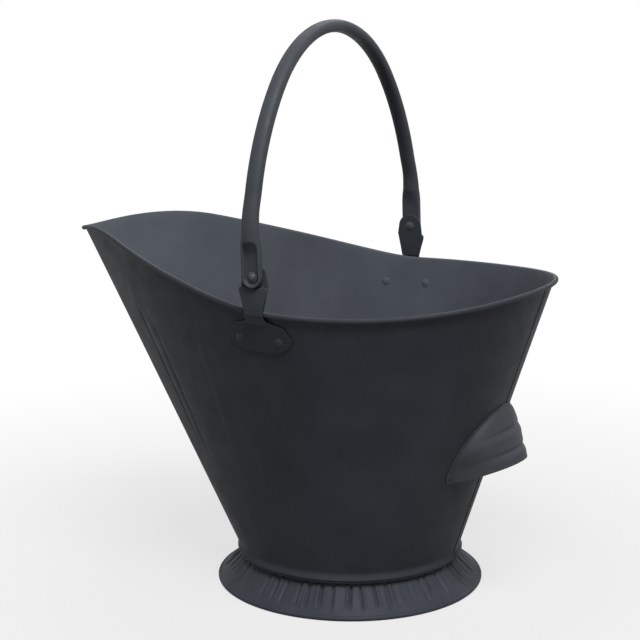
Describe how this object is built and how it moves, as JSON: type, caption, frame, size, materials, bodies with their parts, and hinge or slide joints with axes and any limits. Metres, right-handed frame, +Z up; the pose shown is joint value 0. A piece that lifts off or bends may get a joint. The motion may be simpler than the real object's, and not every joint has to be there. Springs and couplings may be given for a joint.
{
  "type": "pellet carrier",
  "caption": "Black sheet steel hod for stove pellets: round back, pouring spout, wired rim, crimped flared foot, rear finger grip and a bail that swings on riveted ears.",
  "frame": {"origin": "centre of the round foot, on the floor", "axes": "+Z up, +X out of the pouring spout, +Y to the left of someone who looks out of the spout; the bail's pivots lie on a line parallel to Y"},
  "size_m": [0.4323, 0.3036, 0.4699],
  "materials": {
    "body_paint": "satin black coating on sheet steel",
    "foot_paint": "satin black coating on crimped sheet steel",
    "fitting_paint": "satin black coating on pressed and tubular steel",
    "rivet_paint": "black coating, slightly worn on the heads",
    "bare_wire": "drawn steel wire, hidden inside the curls"
  },
  "bodies": {
    "bucket": {"body_shell": "body_paint", "rim_wire": "bare_wire", "bottom_pan": "body_paint", "foot_skirt": "foot_paint", "foot_wire": "bare_wire", "rear_grip": "body_paint", "grip_rivet_left": "rivet_paint", "grip_rivet_right": "rivet_paint", "ear_left": "fitting_paint", "ear_right": "fitting_paint", "ear_rivet_left_front": "rivet_paint", "ear_rivet_left_back": "rivet_paint", "ear_rivet_right_front": "rivet_paint", "ear_rivet_right_back": "rivet_paint", "pivot_rivet_left": "rivet_paint", "pivot_rivet_right": "rivet_paint", "pivot_washer_left": "rivet_paint", "pivot_washer_right": "rivet_paint"},
    "bail": {"bail": "fitting_paint"}
  },
  "joints": [
    {"name": "bail_swing", "type": "hinge", "parent": "bucket", "child": "bail", "pos_m": [0.01, 0, 0.2818], "axis": [0, 1, 0], "range_deg": [-86, 81]}
  ]
}
